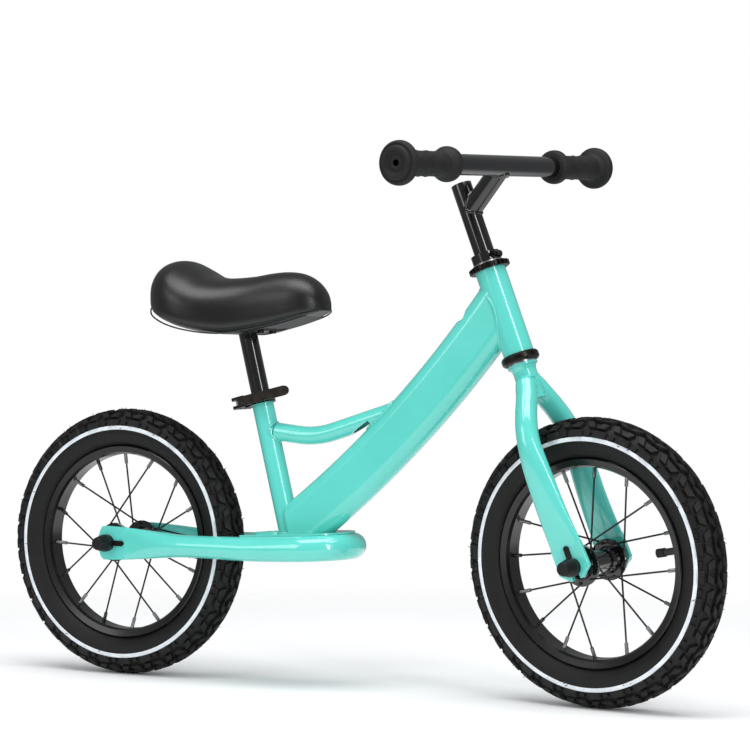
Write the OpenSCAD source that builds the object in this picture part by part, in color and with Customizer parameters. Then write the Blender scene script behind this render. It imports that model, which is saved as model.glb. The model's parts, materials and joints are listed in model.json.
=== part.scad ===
// Child's balance bike: steel frame and fork, two spoked wheels on ball-bearing hubs,
// a height-adjustable saddle and a height-adjustable handlebar.
// +X is forward, +Y is the rider's left, +Z is up. The origin is on the floor, in the frame's
// middle plane, half way between the two axles of a bike that steers straight ahead.

/* [Wheels] */
// Outside diameter of the tyre
tyre_d = 305; // [290:1:310]
// Width of the tyre over its side knobs
tyre_w = 47; // [44:1:48]
// Distance between the two axles
wheelbase = 584; // [560:1:600]
// Diameter of the hole inside the rim
rim_hole_d = 201; // [196:1:204]
// Number of spokes in each wheel
spoke_count = 16; // [12:4:20]
// Diameter of a spoke
spoke_d = 2; // [1.8:0.1:2.2]
// Turn of the rear wheel's first spoke hole from straight ahead
rear_spin = 3; // [-10:1:10]
// Turn of the front wheel's first spoke hole from straight ahead
front_spin = -1; // [-10:1:10]

/* [Steering] */
// Angle of the steering axis from the vertical
head_rake = 21; // [18:0.5:24]
// Angle that the handlebar and the front wheel are turned by, negative is to the right
steer = -8.5; // [-20:0.5:20]
// Where the steering axis meets the floor, in front of the origin
steer_foot_x = 344; // [338:1:350]
// Distance of the front axle in front of the steering axis
fork_offset = 6; // [4:1:10]
// Outside diameter of the head tube
head_tube_d = 33; // [32.5:0.5:36]
// Length of the head tube
head_tube_len = 96; // [90:1:100]
// Outside diameter of the steerer tube
steerer_d = 25.4; // [25.4]
// Distance of the fork tips' middle planes from the wheel's middle plane
fork_half_gap = 41.5; // [41:0.5:44]

/* [Handlebar] */
// Diameter of the handlebar and stem tubes
bar_d = 22.2; // [22.2]
// Distance between the outer ends of the two grips
bar_len = 391; // [360:1:420]
// Height of the handlebar's axis along the steering axis
bar_s = 588; // [580:1:600]
// Distance of the handlebar's axis in front of the steering axis
bar_reach = 56; // [50:1:64]
// Length of a grip
grip_len = 99; // [90:1:110]
// Largest diameter of a grip
grip_flange_d = 46; // [40:1:48]

/* [Frame] */
// Height of the main tube's section
main_tube_h = 59; // [56:1:62]
// Width of the main tube's section
main_tube_w = 32; // [30:1:34]
// Bending radius of the main tube's centre line
main_tube_bend_r = 1232; // [1232]
// Diameter of the brace between the seat tube and the main tube
brace_d = 20; // [18:0.5:22]
// Distance of the dropouts' middle planes from the wheel's middle plane
stay_half_gap = 41.5; // [41:0.5:44]
// Wall of every frame tube
tube_wall = 1.5; // [1.2:0.1:2]

/* [Seat] */
// Angle of the seat tube from the vertical, leaning back
seat_rake = 14.3; // [13:0.1:16]
// Outside diameter of the seat tube
seat_tube_d = 24; // [23.5:0.5:25]
// Diameter of the seat post
seat_post_d = 20.8; // [20.8]
// Height of the seat post's top along the seat tube's axis
seat_post_top = 411; // [400:1:420]
// Length of the seat post
seat_post_len = 195; // [160:1:200]

/* [Hidden] */
$fn = 96;
eps = 0.01;

mint = [0.36, 0.85, 0.79];
gloss_black = [0.07, 0.07, 0.08];
rubber_black = [0.12, 0.12, 0.12];
steel = [0.72, 0.73, 0.75];

wheel_r = tyre_d / 2;
rear_axle_x = -wheelbase / 2;

// wheel
rim_hole_r = rim_hole_d / 2;
rim_flange_r = rim_hole_r + 9.5;
rim_half_w = 14;
casing_r = 21;
casing_mid_r = wheel_r - 3 - casing_r;
spoke_pitch = 360 / spoke_count;
spoke_cross = 45;
flange_y = 27.5;
flange_t = 3;
flange_r = 22;
spoke_circle_r = 18.5;
nipple_d = 4;
nipple_len = 12;
hub_half_w = 33;
hub_bore_r = 11.85;
hub_ball_r = 2.38;
hub_ball_circle_r = 9.4;
hub_ball_y = 29.5;
valve_angle = [spoke_pitch * -0.5, spoke_pitch * 0.5];

// axle hardware, the same front and rear
axle_d = 9.5;
plate_t = 5;
washer_t = 2;
nut_t = 8;
nut_af = 15;
cap_len = 19;
cap_base_d = 19.6;
cap_tip_d = 14;
retention_pitch = 21;

// steering, lengths along the steering axis from where it meets the floor
head_bottom = 395;
head_top = head_bottom + head_tube_len;
head_bore_r = 15;
front_axle_s = 161;
crown_flange_top = 384;
steerer_bottom = 344;
steerer_top = 509.3;
steerer_bore_r = bar_d / 2 + 0.08;
quill_bottom = 420;
quill_top = 590;
riser_foot_s = 559;
riser_d = bar_d - 0.6;
headset_ball_r = 1.98;
headset_ball_circle_r = 15.6;
lower_balls_s = crown_flange_top + 5.62;
upper_balls_s = head_top + 3.9;

// seat tube, lengths along its axis from where the axis meets the floor
seat_foot_x = -33.6;
seat_tube_top = 335;
clamp_h = 12.5;
clamp_mid = seat_tube_top - clamp_h / 2;

// main tube: centre of its bend
bend_x = -802.5;
bend_z = 1162.4;

// footrest plate: a plane that climbs forward
plate_x = -116;
plate_z = 167.8;
plate_slope = 2.9;
footrest_t = 2;
loop_front_x = -43.5;

// ---------------------------------------------------------------- placing

module on_steering_axis() {
    translate([steer_foot_x, 0, 0]) rotate([0, -head_rake, 0]) rotate([0, 0, steer]) children();
}

module on_head_axis() {
    translate([steer_foot_x, 0, 0]) rotate([0, -head_rake, 0]) children();
}

module on_seat_axis() {
    translate([seat_foot_x, 0, 0]) rotate([0, -seat_rake, 0]) children();
}

module at_rear_axle() {
    translate([rear_axle_x, 0, wheel_r]) children();
}

// The front wheel hangs in the fork, its own vertical kept parallel to the floor's at rest
module at_front_axle() {
    on_steering_axis() translate([fork_offset, 0, front_axle_s]) rotate([0, head_rake, 0]) children();
}

module both_sides() {
    children();
    mirror([0, 1, 0]) children();
}

module along_y() {
    rotate([-90, 0, 0]) children();
}

// Everything above the footrest plate's top face
module above_plate() {
    translate([plate_x, 0, plate_z]) rotate([0, -plate_slope, 0])
        translate([-200, -100, 0]) cube([700, 200, 500]);
}

// ---------------------------------------------------------------- sweeps of changing section

// A closed outline with half width a, half height b and squareness n
function outline(a, b, n, count = 24) = [
    for (i = [0 : count - 1])
        let (c = cos(360 * i / count), s = sin(360 * i / count))
        [a * sign(c) * pow(abs(c), 2 / n), b * sign(s) * pow(abs(s), 2 / n)]
];

// A skin over rings of points, closed at both ends
module skin(rings) {
    n = len(rings[0]);
    m = len(rings);
    polyhedron(
        points = [for (ring = rings) for (p = ring) p],
        faces = concat(
            [[for (i = [n - 1 : -1 : 0]) i]],
            [for (j = [0 : m - 2]) for (i = [0 : n - 1])
                [j * n + i, j * n + (i + 1) % n, (j + 1) * n + (i + 1) % n]],
            [for (j = [0 : m - 2]) for (i = [0 : n - 1])
                [j * n + i, (j + 1) * n + (i + 1) % n, (j + 1) * n + i]],
            [[for (i = [0 : n - 1]) (m - 1) * n + i]]
        ),
        convexity = 6
    );
}

// ---------------------------------------------------------------- frame

module head_tube() {
    color(mint) on_head_axis() translate([0, 0, head_bottom]) difference() {
        cylinder(r = head_tube_d / 2, h = head_tube_len);
        translate([0, 0, -1]) cylinder(r = head_bore_r, h = head_tube_len + 2);
    }
}

module flat_oval(h, w) {
    translate([(h - w) / 2, 0]) circle(d = w);
    translate([-(h - w) / 2, 0]) circle(d = w);
    square([h - w, w], center = true);
}

module main_tube_bar(h, w, from, to) {
    translate([bend_x, 0, bend_z]) rotate([90, 0, 0]) rotate([0, 0, from - 90])
        rotate_extrude(angle = to - from, $fn = 720) translate([main_tube_bend_r, 0]) flat_oval(h, w);
}

module main_tube() {
    slot_angle = 51.3;
    color(mint) difference() {
        intersection() {
            difference() {
                main_tube_bar(main_tube_h, main_tube_w, 31, 57);
                main_tube_bar(main_tube_h - 2 * tube_wall, main_tube_w - 2 * tube_wall, 30, 58);
            }
            above_plate();
            // in front of the seat tube
            on_seat_axis() translate([7, -50, 0]) cube([500, 100, 600]);
            // behind the head tube
            on_head_axis() translate([-403.4, -50, 0]) cube([400, 100, 600]);
        }
        on_seat_axis() cylinder(d = seat_tube_d, h = 500);
        on_head_axis() cylinder(d = head_tube_d, h = 600);
        // vent hole in the top, behind the head tube
        translate([bend_x, 0, bend_z]) rotate([0, -slot_angle, 0])
            translate([0, -4.5, -main_tube_bend_r + main_tube_h / 2 - 12]) cylinder(d = 17, h = 30);
    }
}

module seat_tube() {
    color(mint) intersection() {
        on_seat_axis() difference() {
            cylinder(d = seat_tube_d, h = seat_tube_top);
            translate([0, 0, -1]) cylinder(d = seat_post_d + 0.16, h = seat_tube_top + 2);
            // slot that lets the clamp close the tube
            translate([-20, -1, seat_tube_top - 26]) cube([20, 2, 40]);
        }
        above_plate();
    }
}

brace_bend = [-43.5, 276.2];
brace_back_slope = -6.5;
brace_front_slope = 17.5;

module brace_path(d) {
    reach = d / 2 * tan((brace_front_slope - brace_back_slope) / 2);
    translate([brace_bend[0], 0, brace_bend[1]]) {
        rotate([0, -brace_back_slope, 0]) translate([reach, 0, 0]) rotate([0, -90, 0])
            cylinder(d = d, h = 60);
        rotate([0, -brace_front_slope, 0]) translate([-reach, 0, 0]) rotate([0, 90, 0])
            cylinder(d = d - 0.3, h = 114);
    }
}

module frame_brace() {
    color(mint) difference() {
        brace_path(brace_d);
        brace_path(brace_d - 2 * tube_wall);
        on_seat_axis() cylinder(d = seat_tube_d, h = 500);
        main_tube_bar(main_tube_h, main_tube_w, 36, 54);
        // relief cut under the front end
        translate([13, 0, 283]) rotate([0, -33, 0]) cube([36, 30, 9], center = true);
    }
}

// The loop: rear dropout, one side, round the front and back. Each station is
// [x, half height, half width, squareness]; the height of its centre follows the plate in front.
loop_side = [
    [-276, 18.8, 2.4, 4], [-266, 18.1, 2.45, 3.8], [-248, 16.9, 6, 2.8], [-232, 15.7, 9, 2.3],
    [-214, 14.2, 11.4, 2], [-196, 13, 12.4, 2], [-176, 12.6, 12.6, 2], [-150, 12.8, 12.8, 2],
    [-116, 13.4, 13.4, 2], [-92, 13.9, 13.9, 2], [-68, 14.2, 14.2, 2]
];
loop_r = 14.3;

function plate_bottom(x) = plate_z - footrest_t / cos(plate_slope) + (x - plate_x) * tan(plate_slope);
function loop_z(x, half_h) = x > plate_x ? plate_bottom(x) - half_h : 152.5;

function loop_ring(x, y, turn, half_h, half_w, n, shrink) = [
    for (p = outline(half_w - shrink, half_h - shrink, n))
        [x + p[0] * sin(turn), y - p[0] * cos(turn), loop_z(x, half_h) + p[1]]
];

function loop_rings(shrink, skip) = concat(
    [for (i = [skip : len(loop_side) - 1]) let (s = loop_side[i])
        loop_ring(s[0], -stay_half_gap, 0, s[1], s[2], s[3], shrink)],
    [for (a = [0 : 15 : 180])
        loop_ring(loop_front_x + stay_half_gap * sin(a), -stay_half_gap * cos(a), a,
            loop_r, loop_r, 2, shrink)],
    [for (i = [len(loop_side) - 1 : -1 : skip]) let (s = loop_side[i])
        loop_ring(s[0], stay_half_gap, 180, s[1], s[2], s[3], shrink)]
);

module dropout() {
    translate([0, -stay_half_gap + plate_t / 2, 0]) rotate([90, 0, 0]) linear_extrude(plate_t)
        polygon([[-304, 146], [-304, 160], [-299, 171.5], [-285, 171.8], [-270, 171],
            [-270, 134.4], [-285, 133.4], [-299, 133.4]]);
}

module rear_loop() {
    color(mint) difference() {
        union() {
            skin(loop_rings(0, 0));
            both_sides() dropout();
        }
        skin(loop_rings(tube_wall, 3));
        at_rear_axle() along_y() cylinder(d = axle_d + 0.3, h = 200, center = true);
        at_rear_axle() translate([retention_pitch - 1, 0, 0]) along_y()
            cylinder(d = 5, h = 200, center = true, $fn = 32);
    }
}

module footrest_plate() {
    half_w = stay_half_gap + 2;
    color(mint) translate([plate_x, 0, plate_z - footrest_t]) rotate([0, -plate_slope, 0])
        linear_extrude(footrest_t) {
            translate([0, -half_w]) square([loop_front_x - plate_x, 2 * half_w]);
            translate([loop_front_x - plate_x, 0]) circle(r = half_w);
        }
}

// ---------------------------------------------------------------- headset

module headset_upper_cup() {
    teeth = 24;
    color(gloss_black) on_head_axis() difference() {
        union() {
            translate([0, 0, head_top]) cylinder(r = 20.5, h = 6);
            translate([0, 0, head_top + 0.8]) for (i = [0 : teeth - 1])
                rotate([0, 0, 360 * i / teeth]) translate([19.5, -1.4, 0]) cube([2.9, 2.8, 4.4]);
            translate([0, 0, head_top - 10]) cylinder(r = head_bore_r, h = 11);
        }
        translate([0, 0, head_top - 11]) cylinder(r = 13.4, h = 20);
        translate([0, 0, upper_balls_s - headset_ball_r - 0.05]) cylinder(r = 17.65, h = 12);
    }
}

module headset_lower_cup() {
    color(gloss_black) on_head_axis() difference() {
        union() {
            translate([0, 0, head_bottom - 9]) rotate_extrude()
                polygon([[0, 0], [18.8, 0], [20.5, 2], [20.5, 7], [18.8, 9], [0, 9]]);
            translate([0, 0, head_bottom - 1]) cylinder(r = head_bore_r, h = 11);
        }
        translate([0, 0, head_bottom - 10]) cylinder(r = 13.4, h = 30);
        translate([0, 0, head_bottom - 10])
            cylinder(r = 17.65, h = lower_balls_s + headset_ball_r + 0.05 - head_bottom + 10);
    }
}

module ball_circle(count, circle_r, ball_r) {
    for (i = [0 : count - 1]) rotate([0, 0, 360 * i / count])
        translate([circle_r, 0, 0]) sphere(r = ball_r, $fn = 24);
}

module headset_balls() {
    color(steel) on_head_axis() {
        translate([0, 0, lower_balls_s]) ball_circle(20, headset_ball_circle_r, headset_ball_r);
        translate([0, 0, upper_balls_s]) ball_circle(20, headset_ball_circle_r, headset_ball_r);
    }
}

module crown_race() {
    color(steel) on_steering_axis() translate([0, 0, crown_flange_top]) rotate_extrude()
        polygon([[steerer_d / 2, 0], [16, 0], [16, 3.5], [13.5, 3.5], [13.2, 7], [steerer_d / 2, 7]]);
}

module upper_race() {
    color(gloss_black) on_steering_axis() translate([0, 0, upper_balls_s + headset_ball_r + 0.1])
        rotate_extrude() polygon([[steerer_d / 2, -3.2], [13.2, -3.2], [13.5, 0], [16.6, 0],
            [16.6, 2.2], [steerer_d / 2, 2.2]]);
}

// ---------------------------------------------------------------- seat clamp

clamp_in_r = seat_tube_d / 2;
clamp_out_r = clamp_in_r + 3;
ear_x = -22;
pivot_y = -14;

module seat_clamp_band() {
    color(gloss_black) on_seat_axis() translate([0, 0, seat_tube_top - clamp_h]) difference() {
        union() {
            cylinder(r = clamp_out_r, h = clamp_h);
            translate([ear_x - 5, -6, 0]) cube([18, 12, clamp_h]);
        }
        translate([0, 0, -1]) cylinder(r = clamp_in_r, h = clamp_h + 2);
        translate([ear_x - 10, -1.2, -1]) cube([24, 2.4, clamp_h + 2]);
        translate([ear_x, 0, clamp_h / 2]) along_y() cylinder(d = 5.3, h = 40, center = true);
    }
}

module seat_clamp_bolt() {
    color(steel) on_seat_axis() translate([0, 0, clamp_mid]) {
        translate([ear_x, -9, 0]) along_y() cylinder(d = 5, h = 24);
        // cross barrel that the lever turns on
        translate([ear_x, pivot_y, 0]) cylinder(d = 6, h = 11, center = true);
        translate([ear_x, pivot_y + 1, 0]) along_y() cylinder(d = 5, h = 6.6);
    }
}

module seat_clamp_nut() {
    color(gloss_black) on_seat_axis() translate([ear_x, 6.2, clamp_mid]) along_y() difference() {
        union() {
            cylinder(d = 12, h = 7);
            for (i = [0 : 5]) rotate([0, 0, 60 * i]) translate([5.6, 0, 0]) cylinder(d = 3, h = 7, $fn = 24);
        }
        translate([0, 0, -1]) cylinder(d = 5.1, h = 10);
    }
}

module seat_clamp_lever() {
    arm_r = 20;
    arm_t = 2.6;
    arm_h = 11;
    color(gloss_black) on_seat_axis() translate([0, 0, clamp_mid]) difference() {
        union() {
            // the two cam lobes, above and below the bolt's eye
            for (z = [-1, 1]) translate([ear_x, pivot_y - 0.6, z * 4.7])
                cylinder(d = 14, h = 3.2, center = true);
            // web that joins the lobes behind the bolt's eye
            translate([ear_x + 3, pivot_y - 7.6, -6.3]) cube([8, 3, 12.6]);
            // arm, bent round the band and then out to the finger tip
            translate([0, 0, -arm_h / 2]) linear_extrude(arm_h) union() {
                translate([ear_x + 4, pivot_y - 7.4]) square([24, arm_t]);
                translate([4.5, pivot_y - 7.4]) rotate([0, 0, 9]) square([35, arm_t]);
            }
            translate([4.5, pivot_y - 7.4, 0]) rotate([0, 0, 9]) translate([35, arm_t / 2, 0])
                along_y() cylinder(d = arm_h - 0.5, h = arm_t + 0.6, center = true);
        }
        translate([ear_x, pivot_y, 0]) cylinder(d = 6.2, h = 30, center = true);
        translate([ear_x, pivot_y, 0]) cylinder(d = 10, h = 6.2, center = true);
    }
}

// ---------------------------------------------------------------- axles and their hardware

module axle_rod() {
    color(steel) along_y() cylinder(d = axle_d, h = 2 * (fork_half_gap + plate_t / 2 + washer_t + 15),
        center = true);
}

// Bearing cone with its lock nut, filling the gap between the hub and the dropout
module cone_pair() {
    inner_face = fork_half_gap - plate_t / 2;
    color(steel) both_sides() along_y() difference() {
        rotate_extrude() polygon([[0, hub_ball_y - 4], [6.9, hub_ball_y - 4], [6.9, hub_ball_y + 2.6],
            [8.6, hub_ball_y + 4], [8.6, inner_face], [0, inner_face]]);
        cylinder(d = axle_d, h = 200, center = true);
    }
}

// Retention washer with a tab that hooks into the hole beside the slot; tab points along +Z here
module tab_washer() {
    color(gloss_black) translate([0, -(fork_half_gap + plate_t / 2), 0]) rotate([90, 0, 0]) {
        difference() {
            linear_extrude(washer_t) {
                circle(r = 9.8);
                translate([-3, 0]) square([6, retention_pitch - 1]);
                translate([0, retention_pitch - 1]) circle(r = 3, $fn = 32);
            }
            translate([0, 0, -1]) cylinder(d = axle_d + 0.1, h = washer_t + 2);
        }
        // hook that goes into the plate's small hole
        translate([0, retention_pitch - 1, -3]) cylinder(d = 4.6, h = 3 + washer_t / 2, $fn = 32);
    }
}

module axle_nut() {
    color(steel) translate([0, -(fork_half_gap + plate_t / 2 + washer_t), 0]) rotate([90, 0, 0])
        difference() {
            cylinder(d = nut_af / cos(30), h = nut_t, $fn = 6);
            translate([0, 0, -1]) cylinder(d = axle_d, h = nut_t + 2);
        }
}

module axle_cap() {
    color(gloss_black) translate([0, -(fork_half_gap + plate_t / 2 + washer_t), 0]) rotate([90, 0, 0])
        difference() {
            rotate_extrude() polygon([[0, 0], [cap_base_d / 2, 0], [cap_base_d / 2, 5],
                [cap_tip_d / 2 + 0.6, cap_len - 3], [cap_tip_d / 2, cap_len - 1],
                [cap_tip_d / 2 - 1.4, cap_len], [0, cap_len]]);
            translate([0, 0, -1]) cylinder(d = 17.6, h = 4);
            translate([0, 0, -1]) cylinder(d = nut_af / cos(30) + 0.2, h = nut_t + 1.4, $fn = 6);
            translate([0, 0, -1]) cylinder(d = axle_d + 0.2, h = cap_len - 1);
        }
}

module rear_axle() {
    at_rear_axle() axle_rod();
}

module rear_cones() {
    at_rear_axle() cone_pair();
}

module rear_tab_washers() {
    at_rear_axle() both_sides() rotate([0, 90, 0]) tab_washer();
}

module rear_axle_nuts() {
    at_rear_axle() both_sides() axle_nut();
}

module rear_axle_caps() {
    at_rear_axle() both_sides() axle_cap();
}

module at_fork_axle() {
    on_steering_axis() translate([fork_offset, 0, front_axle_s]) children();
}

module front_axle() {
    at_fork_axle() axle_rod();
}

module front_cones() {
    at_fork_axle() cone_pair();
}

module front_tab_washers() {
    at_fork_axle() both_sides() tab_washer();
}

module front_axle_nuts() {
    at_fork_axle() both_sides() axle_nut();
}

module front_axle_caps() {
    at_fork_axle() both_sides() axle_cap();
}

// ---------------------------------------------------------------- fork

module fork_steerer() {
    color(mint) on_steering_axis() difference() {
        union() {
            translate([0, 0, steerer_bottom]) cylinder(d = steerer_d, h = steerer_top - steerer_bottom);
            translate([0, 0, crown_flange_top - 2.5]) cylinder(d = 32.5, h = 2.5);
            translate([0, 0, crown_flange_top - 7.5]) cylinder(d1 = steerer_d, d2 = 29, h = 5);
        }
        translate([0, 0, steerer_bottom - 1])
            cylinder(r = steerer_bore_r, h = steerer_top - steerer_bottom + 2);
        // slot that lets the collar close the tube on the quill
        translate([0, -0.8, steerer_top - 9]) cube([14, 1.6, 20]);
    }
}

// Stations down the right leg: [s, x, y, half width, half thickness, squareness]
leg_stations = [
    [377, 0.3, 1.6, 8.6, 8.4, 2], [360, 1.5, 9.5, 11, 10.5, 2], [347, 2.8, 17, 11.4, 11.4, 2],
    [334, 3.4, 26.5, 11.5, 11.5, 2], [321, 3.6, 34.5, 11.7, 11.7, 2], [308, 3.4, 40, 12, 11.8, 2],
    [293, 3, 43.2, 13, 11.2, 2], [276, 2.8, 44.2, 14.6, 10, 2.1], [255, 2.6, 43.8, 15.9, 8.4, 2.2],
    [234, 2.6, 43, 16.6, 6.8, 2.3], [213, 3.2, 42.3, 17.4, 5, 2.6], [196, 4.2, 41.8, 18.2, 3.3, 3],
    [182, 5.2, 41.5, 18.8, 2.5, 4]
];

function leg_ring(i, shrink) =
    let (
        st = leg_stations[i],
        last = len(leg_stations) - 1,
        a = leg_stations[max(i - 1, 0)],
        b = leg_stations[min(i + 1, last)],
        dir = [b[1] - a[1], -(b[2] - a[2]), b[0] - a[0]] / norm([b[1] - a[1], b[2] - a[2], b[0] - a[0]]),
        wide = [1, 0, 0],
        thick = cross(wide, dir) / norm(cross(wide, dir))
    )
    [for (p = outline(st[3] - shrink, st[4] - shrink, st[5]))
        [st[1], -st[2], st[0]] + p[0] * wide + p[1] * thick];

module leg_tip() {
    tip_half_w = 19.2;
    translate([fork_offset, -fork_half_gap + plate_t / 2, front_axle_s]) rotate([90, 0, 0])
        linear_extrude(plate_t) difference() {
            polygon([[-18.6 - 1, 24], [18.6 - 1, 24], [tip_half_w, 4], [tip_half_w, -4], [8, -13.5],
                [-8, -13.5], [-tip_half_w, -4], [-tip_half_w, 4]]);
            circle(d = axle_d + 0.3);
            translate([-(axle_d + 0.3) / 2, -30]) square([axle_d + 0.3, 30]);
            translate([0, retention_pitch - 1]) circle(d = 5, $fn = 32);
        }
}

module right_leg() {
    difference() {
        union() {
            difference() {
                skin([for (i = [0 : len(leg_stations) - 1]) leg_ring(i, 0)]);
                skin([for (i = [0 : len(leg_stations) - 3]) leg_ring(i, tube_wall)]);
            }
            leg_tip();
        }
        translate([0, 0, steerer_bottom - 20]) cylinder(d = steerer_d + 0.06, h = 60);
        // hole for the tab washer's hook
        translate([fork_offset, -fork_half_gap, front_axle_s + retention_pitch - 1]) along_y()
            cylinder(d = 5, h = 20, center = true, $fn = 32);
    }
}

module fork_leg_right() {
    color(mint) on_steering_axis() right_leg();
}

module fork_leg_left() {
    color(mint) on_steering_axis() mirror([0, 1, 0]) right_leg();
}

collar_bottom = upper_balls_s + headset_ball_r + 2.3;
collar_h = 10.4;
collar_bolt_x = 15;

module steerer_collar() {
    color(gloss_black) on_steering_axis() translate([0, 0, collar_bottom]) difference() {
        union() {
            cylinder(r = 15.6, h = collar_h);
            translate([collar_bolt_x, 0, collar_h / 2]) along_y() cylinder(r = 3.9, h = 9, center = true);
        }
        translate([0, 0, -1]) cylinder(d = steerer_d, h = collar_h + 2);
        translate([5, -0.8, -1]) cube([30, 1.6, collar_h + 2]);
        translate([collar_bolt_x, 0, collar_h / 2]) along_y() cylinder(d = 4.2, h = 9.2, center = true);
        // seats for the bolt's head and the thread's end
        translate([collar_bolt_x, -4.5, collar_h / 2]) rotate([90, 0, 0]) cylinder(d = 7.4, h = 20);
        translate([collar_bolt_x, 4.5, collar_h / 2]) along_y() cylinder(d = 7.4, h = 20);
    }
}

module steerer_collar_bolt() {
    color(steel) on_steering_axis() translate([collar_bolt_x, 0, collar_bottom + collar_h / 2])
        along_y() {
            translate([0, 0, -5]) cylinder(d = 4, h = 10);
            translate([0, 0, -8]) difference() {
                cylinder(d = 6, h = 3.5);
                translate([0, 0, -1]) cylinder(d = 3, h = 3, $fn = 6);
            }
        }
}

// ---------------------------------------------------------------- handlebar

module stem_quill() {
    color(gloss_black) on_steering_axis() difference() {
        translate([0, 0, quill_bottom]) cylinder(d = bar_d, h = quill_top - quill_bottom);
        translate([0, 0, quill_bottom - 1])
            cylinder(d = bar_d - 2 * tube_wall, h = quill_top - quill_bottom + 2);
    }
}

module stem_riser() {
    rise = bar_s - riser_foot_s;
    run = norm([rise, bar_reach]);
    color(gloss_black) on_steering_axis() difference() {
        translate([0, 0, riser_foot_s]) rotate([0, atan2(bar_reach, rise), 0]) difference() {
            cylinder(d = riser_d, h = run);
            translate([0, 0, -1]) cylinder(d = riser_d - 2 * tube_wall, h = run + 2);
        }
        translate([0, 0, quill_bottom]) cylinder(d = bar_d, h = 300);
        translate([bar_reach, 0, bar_s]) along_y() cylinder(d = bar_d, h = 100, center = true);
    }
}

module on_bar() {
    on_steering_axis() translate([bar_reach, 0, bar_s]) children();
}

module handlebar() {
    color(gloss_black) on_bar() along_y() difference() {
        cylinder(d = bar_d, h = bar_len - 10, center = true);
        cylinder(d = bar_d - 2 * tube_wall, h = bar_len, center = true);
    }
}

module grip() {
    flange_r = grip_flange_d / 2;
    translate([0, 0, bar_len / 2 - grip_len]) difference() {
        rotate_extrude() union() {
            square([13.4, grip_len - 4]);
            // inner bulb
            translate([0, 1]) square([16, 13]);
            translate([11, 7.5]) circle(r = 7.5);
            // outer flange
            translate([0, grip_len - 13]) square([flange_r - 4, 8]);
            translate([flange_r - 5, grip_len - 9]) circle(r = 5);
            translate([0, grip_len - 6]) square([17, 6]);
        }
        translate([0, 0, -1]) cylinder(d = bar_d, h = grip_len - 4);
        cylinder(d = 6, h = grip_len + 5);
    }
}

module grip_left() {
    color(rubber_black) on_bar() along_y() grip();
}

module grip_right() {
    color(rubber_black) on_bar() rotate([90, 0, 0]) grip();
}

// ---------------------------------------------------------------- seat

module seat_post() {
    color(gloss_black) on_seat_axis() difference() {
        translate([0, 0, seat_post_top - seat_post_len]) cylinder(d = seat_post_d, h = seat_post_len);
        translate([0, 0, seat_post_top - seat_post_len - 1])
            cylinder(d = seat_post_d - 2 * tube_wall, h = seat_post_len - 3);
    }
}

// Stations along the saddle, rear to nose: [x, half width, top, bottom of the skirt]
saddle_stations = [
    [-245, 16, 445, 430], [-242, 30, 455, 421], [-236, 43, 465, 415], [-226, 54.5, 472, 409],
    [-211, 62, 473.5, 402.5], [-194, 64.5, 466, 397], [-176, 62, 457, 393], [-158, 56, 453.5, 390.5],
    [-140, 49, 453.5, 390], [-120, 42, 455, 392.5], [-100, 37, 458, 396.5], [-80, 33.5, 459.5, 401],
    [-62, 31, 457.5, 406], [-48, 27, 451, 410], [-38, 20, 441, 413.5], [-32, 11, 428, 416]
];

// Cross-section: a crowned top and a flat underside
function saddle_ring(st, inset, top_drop, bottom) = [
    for (a = [0 : 15 : 345])
        let (
            c = cos(a),
            s = sin(a),
            half_w = st[1] - inset,
            top = st[2] - top_drop,
            side = bottom + (top - bottom) * 0.4
        )
        [st[0], -half_w * sign(c) * pow(abs(c), s > 0 ? 0.95 : 0.4),
            s > 0 ? side + (top - side) * pow(s, 1) : side + (side - bottom) * sign(s) * pow(abs(s), 0.5)]
];

pad_recess = 14;

// Square-cornered section, for the room under the cover and the base that fills it
function box_ring(st, inset, low, high) = [
    [st[0], -st[1] + inset, high], [st[0], st[1] - inset, high],
    [st[0], st[1] - inset, low], [st[0], -st[1] + inset, low]
];

module saddle_pad() {
    color(rubber_black) difference() {
        skin([for (st = saddle_stations) saddle_ring(st, 0, 0, st[3])]);
        skin([for (i = [2 : len(saddle_stations) - 2]) let (st = saddle_stations[i])
            box_ring(st, 5, st[3] - 20, st[3] + pad_recess)]);
    }
}

// How far the base reaches below the cover's edge at each of the saddle's stations
base_drop = [0, 0, 0, -7, -7, -6, -5, -3, -1, 0.5, 0.5, 0.5, 0.5, 0, 0, 0];

module saddle_base() {
    color(gloss_black) difference() {
        skin([for (i = [3 : len(saddle_stations) - 3]) let (st = saddle_stations[i])
            box_ring(st, 6, st[3] - base_drop[i], st[3] + pad_recess - 0.3)]);
        on_saddle_bracket() translate([-40, -24, -60]) cube([80, 48, 60]);
        on_seat_axis() cylinder(d = seat_post_d + 3, h = 600);
        on_saddle_bracket() bracket_holes(4, 60);
    }
}

bracket_t = 3;

module on_saddle_bracket() {
    on_seat_axis() translate([0, 0, seat_post_top - 1]) rotate([0, seat_rake, 0]) children();
}

module bracket_holes(d, h) {
    for (x = [-26, 26]) for (y = [-13, 13])
        translate([x, y, 0]) cylinder(d = d, h = h, center = true, $fn = 32);
}

module saddle_bracket() {
    color(gloss_black) difference() {
        on_saddle_bracket() difference() {
            translate([-34, -20, -bracket_t]) cube([68, 40, bracket_t]);
            bracket_holes(4, 20);
        }
        on_seat_axis() cylinder(d = seat_post_d, h = 600);
    }
}

module saddle_bolts() {
    color(steel) on_saddle_bracket() for (x = [-26, 26]) for (y = [-13, 13])
        translate([x, y, -bracket_t - 3]) {
            cylinder(d = 7.5, h = 3, $fn = 32);
            cylinder(d = 4, h = 9, $fn = 32);
        }
}

// ---------------------------------------------------------------- wheels

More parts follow.
